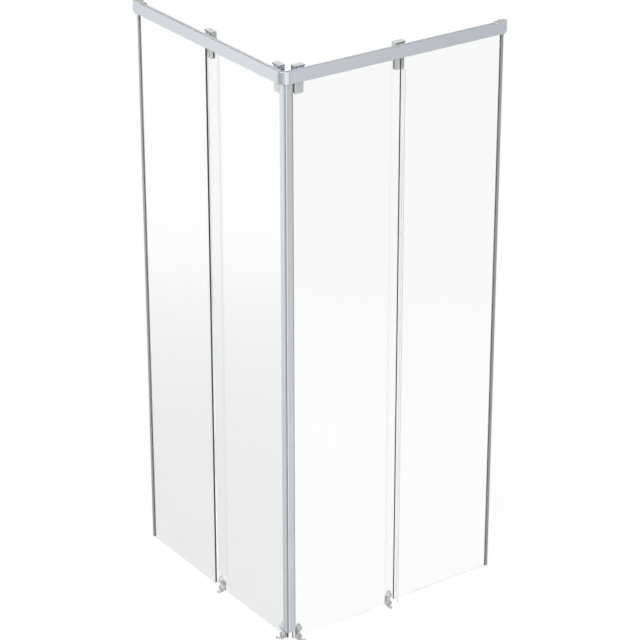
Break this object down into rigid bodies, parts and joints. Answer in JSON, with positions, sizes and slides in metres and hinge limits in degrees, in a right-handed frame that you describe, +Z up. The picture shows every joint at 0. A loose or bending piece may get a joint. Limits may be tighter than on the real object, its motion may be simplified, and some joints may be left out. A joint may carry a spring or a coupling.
{
  "type": "corner-entry sliding shower door",
  "caption": "Corner shower enclosure: fixed glass panes and sliding glass doors hung on rollers under two top rails that meet in a rounded corner, with magnetic closing profiles.",
  "frame": {"origin": "centre of the bounding box at its bottom: below the middle of the square that the two sides span, level with the guides' toes", "axes": "+X along the right side from the outer corner to its wall, +Y along the left side to its wall, +Z up"},
  "size_m": [0.8, 0.8, 1.889],
  "materials": {
    "satin_aluminium": "satin anodised",
    "satin_chrome": "satin",
    "steel": "machined",
    "clear_glass": "clear, polished",
    "grey_rubber": "matte",
    "grey_plastic": "satin",
    "light_plastic": "semi-gloss",
    "white_nylon": "satin",
    "clear_vinyl": "clear, soft"
  },
  "bodies": {
    "root": {"top_rail_right": "satin_aluminium", "top_rail_left": "satin_aluminium", "corner_connector": "satin_aluminium", "connector_screws": "steel", "wall_bracket_right": "grey_plastic", "wall_bracket_left": "grey_plastic", "bracket_screws": "steel", "wall_profile_right": "satin_aluminium", "wall_profile_left": "satin_aluminium", "fixed_pane_right": "clear_glass", "fixed_pane_left": "clear_glass", "rail_gaskets": "grey_rubber", "wall_seals": "grey_rubber", "door_stops": "grey_rubber"},
    "right_door": {"right_door_pane": "clear_glass", "right_closing_profile": "satin_aluminium", "right_magnet_strip": "grey_rubber", "right_profile_plugs": "grey_plastic", "right_hanger_corner": "satin_chrome", "right_hanger_mid": "satin_chrome", "right_hanger_caps": "satin_chrome", "right_clamp_backs": "satin_chrome", "right_clamp_pads": "grey_rubber", "right_clamp_screws": "steel", "right_axle_pins": "steel", "right_guide_corner": "light_plastic", "right_guide_mid": "light_plastic", "right_guide_pins": "steel", "right_edge_seal": "clear_vinyl"},
    "left_door": {"left_door_pane": "clear_glass", "left_closing_profile": "satin_aluminium", "left_magnet_strip": "grey_rubber", "left_profile_plugs": "grey_plastic", "left_hanger_corner": "satin_chrome", "left_hanger_mid": "satin_chrome", "left_hanger_caps": "satin_chrome", "left_clamp_backs": "satin_chrome", "left_clamp_pads": "grey_rubber", "left_clamp_screws": "steel", "left_axle_pins": "steel", "left_guide_corner": "light_plastic", "left_guide_mid": "light_plastic", "left_guide_pins": "steel", "left_edge_seal": "clear_vinyl"},
    "right_roller_corner": {"right_roller_corner": "white_nylon"},
    "right_guide_wheel_corner": {"right_guide_wheel_corner": "white_nylon"},
    "right_button_corner": {"right_button_corner": "light_plastic"},
    "right_roller_mid": {"right_roller_mid": "white_nylon"},
    "right_guide_wheel_mid": {"right_guide_wheel_mid": "white_nylon"},
    "right_button_mid": {"right_button_mid": "light_plastic"},
    "left_roller_corner": {"left_roller_corner": "white_nylon"},
    "left_guide_wheel_corner": {"left_guide_wheel_corner": "white_nylon"},
    "left_button_corner": {"left_button_corner": "light_plastic"},
    "left_roller_mid": {"left_roller_mid": "white_nylon"},
    "left_guide_wheel_mid": {"left_guide_wheel_mid": "white_nylon"},
    "left_button_mid": {"left_button_mid": "light_plastic"}
  },
  "joints": [
    {"name": "right_door_slide", "type": "slide", "parent": "root", "child": "right_door", "axis": [1, 0, 0], "range_m": [0, 0.33]},
    {"name": "left_door_slide", "type": "slide", "parent": "root", "child": "left_door", "axis": [0, 1, 0], "range_m": [0, 0.33]},
    {"name": "right_roller_corner_spin", "type": "hinge", "parent": "right_door", "child": "right_roller_corner", "pos_m": [-0.319, -0.3685, 1.8723], "axis": [0, 1, 0], "continuous": true},
    {"name": "right_guide_wheel_corner_spin", "type": "hinge", "parent": "right_door", "child": "right_guide_wheel_corner", "pos_m": [-0.327, -0.367, 0.0145], "axis": [0, 1, 0], "continuous": true},
    {"name": "right_button_corner_press", "type": "slide", "parent": "right_door", "child": "right_button_corner", "axis": [0, 1, 0], "range_m": [0, 0.003], "stiffness_N_per_m": 400, "springref_m": -0.003},
    {"name": "right_roller_mid_spin", "type": "hinge", "parent": "right_door", "child": "right_roller_mid", "pos_m": [0.033, -0.3685, 1.8723], "axis": [0, 1, 0], "continuous": true},
    {"name": "right_guide_wheel_mid_spin", "type": "hinge", "parent": "right_door", "child": "right_guide_wheel_mid", "pos_m": [0.0195, -0.367, 0.0145], "axis": [0, 1, 0], "continuous": true},
    {"name": "right_button_mid_press", "type": "slide", "parent": "right_door", "child": "right_button_mid", "axis": [0, 1, 0], "range_m": [0, 0.003], "stiffness_N_per_m": 400, "springref_m": -0.003},
    {"name": "left_roller_corner_spin", "type": "hinge", "parent": "left_door", "child": "left_roller_corner", "pos_m": [-0.3685, -0.319, 1.8723], "axis": [-1, 0, 0], "continuous": true},
    {"name": "left_guide_wheel_corner_spin", "type": "hinge", "parent": "left_door", "child": "left_guide_wheel_corner", "pos_m": [-0.367, -0.327, 0.0145], "axis": [-1, 0, 0], "continuous": true},
    {"name": "left_button_corner_press", "type": "slide", "parent": "left_door", "child": "left_button_corner", "axis": [1, 0, 0], "range_m": [0, 0.003], "stiffness_N_per_m": 400, "springref_m": -0.003},
    {"name": "left_roller_mid_spin", "type": "hinge", "parent": "left_door", "child": "left_roller_mid", "pos_m": [-0.3685, 0.033, 1.8723], "axis": [-1, 0, 0], "continuous": true},
    {"name": "left_guide_wheel_mid_spin", "type": "hinge", "parent": "left_door", "child": "left_guide_wheel_mid", "pos_m": [-0.367, 0.0195, 0.0145], "axis": [-1, 0, 0], "continuous": true},
    {"name": "left_button_mid_press", "type": "slide", "parent": "left_door", "child": "left_button_mid", "axis": [1, 0, 0], "range_m": [0, 0.003], "stiffness_N_per_m": 400, "springref_m": -0.003}
  ],
  "couplings": [
    {"joint": "right_roller_corner_spin", "follows": "right_door_slide", "rad_per_m": 133.33},
    {"joint": "right_guide_wheel_corner_spin", "follows": "right_door_slide", "rad_per_m": 117.65},
    {"joint": "right_roller_mid_spin", "follows": "right_door_slide", "rad_per_m": 133.33},
    {"joint": "right_guide_wheel_mid_spin", "follows": "right_door_slide", "rad_per_m": 117.65},
    {"joint": "left_roller_corner_spin", "follows": "left_door_slide", "rad_per_m": 133.33},
    {"joint": "left_guide_wheel_corner_spin", "follows": "left_door_slide", "rad_per_m": 117.65},
    {"joint": "left_roller_mid_spin", "follows": "left_door_slide", "rad_per_m": 133.33},
    {"joint": "left_guide_wheel_mid_spin", "follows": "left_door_slide", "rad_per_m": 117.65}
  ]
}
